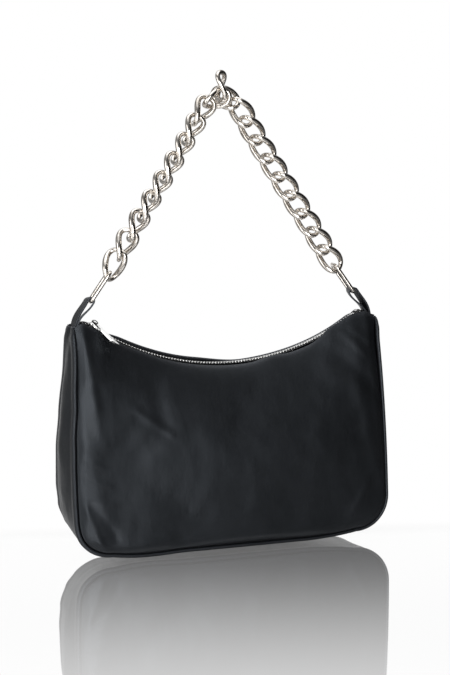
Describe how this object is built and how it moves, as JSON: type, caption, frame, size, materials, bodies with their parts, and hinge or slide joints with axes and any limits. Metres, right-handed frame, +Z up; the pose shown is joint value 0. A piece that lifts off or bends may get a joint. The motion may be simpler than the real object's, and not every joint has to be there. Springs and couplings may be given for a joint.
{
  "type": "shoulder bag",
  "caption": "Small soft leather baguette bag with a zip along its dipped top edge, hung by side tabs and rings from a curb chain strap.",
  "frame": {"origin": "inside of the upper bend of the chain's top link, where a hook carries the bag", "axes": "+Z up along the hanging bag, -Y out of the front panel, +X to the right seen from the front"},
  "size_m": [0.288, 0.0708, 0.4106],
  "materials": {
    "leather": "smooth soft black leather, satin, with a faint grain",
    "chain_metal": "polished silver-coloured plating",
    "zip_metal": "polished silver-coloured plating",
    "zip_tape": "matte black woven tape with silver-coloured teeth",
    "lining_cloth": "matte black lining cloth"
  },
  "bodies": {
    "top_link": {"top_link": "chain_metal"},
    "links_01": {"link_left_01": "chain_metal", "link_right_01": "chain_metal"},
    "links_02": {"link_left_02": "chain_metal", "link_right_02": "chain_metal"},
    "links_03": {"link_left_03": "chain_metal", "link_right_03": "chain_metal"},
    "links_04": {"link_left_04": "chain_metal", "link_right_04": "chain_metal"},
    "links_05": {"link_left_05": "chain_metal", "link_right_05": "chain_metal"},
    "links_06": {"link_left_06": "chain_metal", "link_right_06": "chain_metal"},
    "links_07": {"link_left_07": "chain_metal", "link_right_07": "chain_metal"},
    "links_08": {"link_left_08": "chain_metal", "link_right_08": "chain_metal"},
    "links_09": {"link_left_09": "chain_metal", "link_right_09": "chain_metal"},
    "links_10": {"link_left_10": "chain_metal", "link_right_10": "chain_metal"},
    "rings": {"left_ring": "chain_metal", "right_ring": "chain_metal"},
    "bag": {"front_panel": "leather", "back_panel": "leather", "front_welt": "leather", "back_welt": "leather", "gusset_band": "leather", "lining": "lining_cloth", "left_tab": "leather", "right_tab": "leather", "zip_tape_front": "zip_tape", "zip_tape_back": "zip_tape", "zip_top_stop_front": "zip_metal", "zip_top_stop_back": "zip_metal", "zip_bottom_stop": "zip_metal"},
    "zip_slider": {"zip_slider": "zip_metal"},
    "zip_pull": {"zip_pull": "zip_metal"}
  },
  "joints": [
    {"name": "swing_01", "type": "hinge", "parent": "top_link", "child": "links_01", "pos_m": [0, 0, -0.01385], "axis": [1, 0, 0], "range_deg": [-4, 4]},
    {"name": "swing_02", "type": "hinge", "parent": "links_01", "child": "links_02", "pos_m": [0, 0, -0.02362], "axis": [1, 0, 0], "range_deg": [-4, 7]},
    {"name": "swing_03", "type": "hinge", "parent": "links_02", "child": "links_03", "pos_m": [0, 0, -0.03899], "axis": [1, 0, 0], "range_deg": [-6, 4]},
    {"name": "swing_04", "type": "hinge", "parent": "links_03", "child": "links_04", "pos_m": [0, 0, -0.0551], "axis": [1, 0, 0], "range_deg": [-7, 7]},
    {"name": "swing_05", "type": "hinge", "parent": "links_04", "child": "links_05", "pos_m": [0, 0, -0.07121], "axis": [1, 0, 0], "range_deg": [-7, 7]},
    {"name": "swing_06", "type": "hinge", "parent": "links_05", "child": "links_06", "pos_m": [0, 0, -0.08733], "axis": [1, 0, 0], "range_deg": [-7, 7]},
    {"name": "swing_07", "type": "hinge", "parent": "links_06", "child": "links_07", "pos_m": [0, 0, -0.10344], "axis": [1, 0, 0], "range_deg": [-7, 7]},
    {"name": "swing_08", "type": "hinge", "parent": "links_07", "child": "links_08", "pos_m": [0, 0, -0.11955], "axis": [1, 0, 0], "range_deg": [-7, 7]},
    {"name": "swing_09", "type": "hinge", "parent": "links_08", "child": "links_09", "pos_m": [0, 0, -0.13567], "axis": [1, 0, 0], "range_deg": [-7, 7]},
    {"name": "swing_10", "type": "hinge", "parent": "links_09", "child": "links_10", "pos_m": [0, 0, -0.15178], "axis": [1, 0, 0], "range_deg": [-7, 7]},
    {"name": "ring_swing", "type": "hinge", "parent": "links_10", "child": "rings", "pos_m": [0, 0, -0.16789], "axis": [1, 0, 0], "range_deg": [-8, 8]},
    {"name": "bag_swing", "type": "hinge", "parent": "rings", "child": "bag", "pos_m": [0, 0, -0.19027], "axis": [1, 0, 0], "range_deg": [-20, 20], "deforming": ["left_tab", "right_tab"]},
    {"name": "zip_slide", "type": "hinge", "parent": "bag", "child": "zip_slider", "pos_m": [0, 0, -0.02982], "axis": [0, -1, 0], "range_deg": [0, 66], "deforming": ["zip_tape_front", "zip_tape_back"]},
    {"name": "pull_flip", "type": "hinge", "parent": "zip_slider", "child": "zip_pull", "pos_m": [-0.11801, 0, -0.20816], "axis": [-0.7127, -0.5955, 0.3707], "range_deg": [0, 120]}
  ]
}
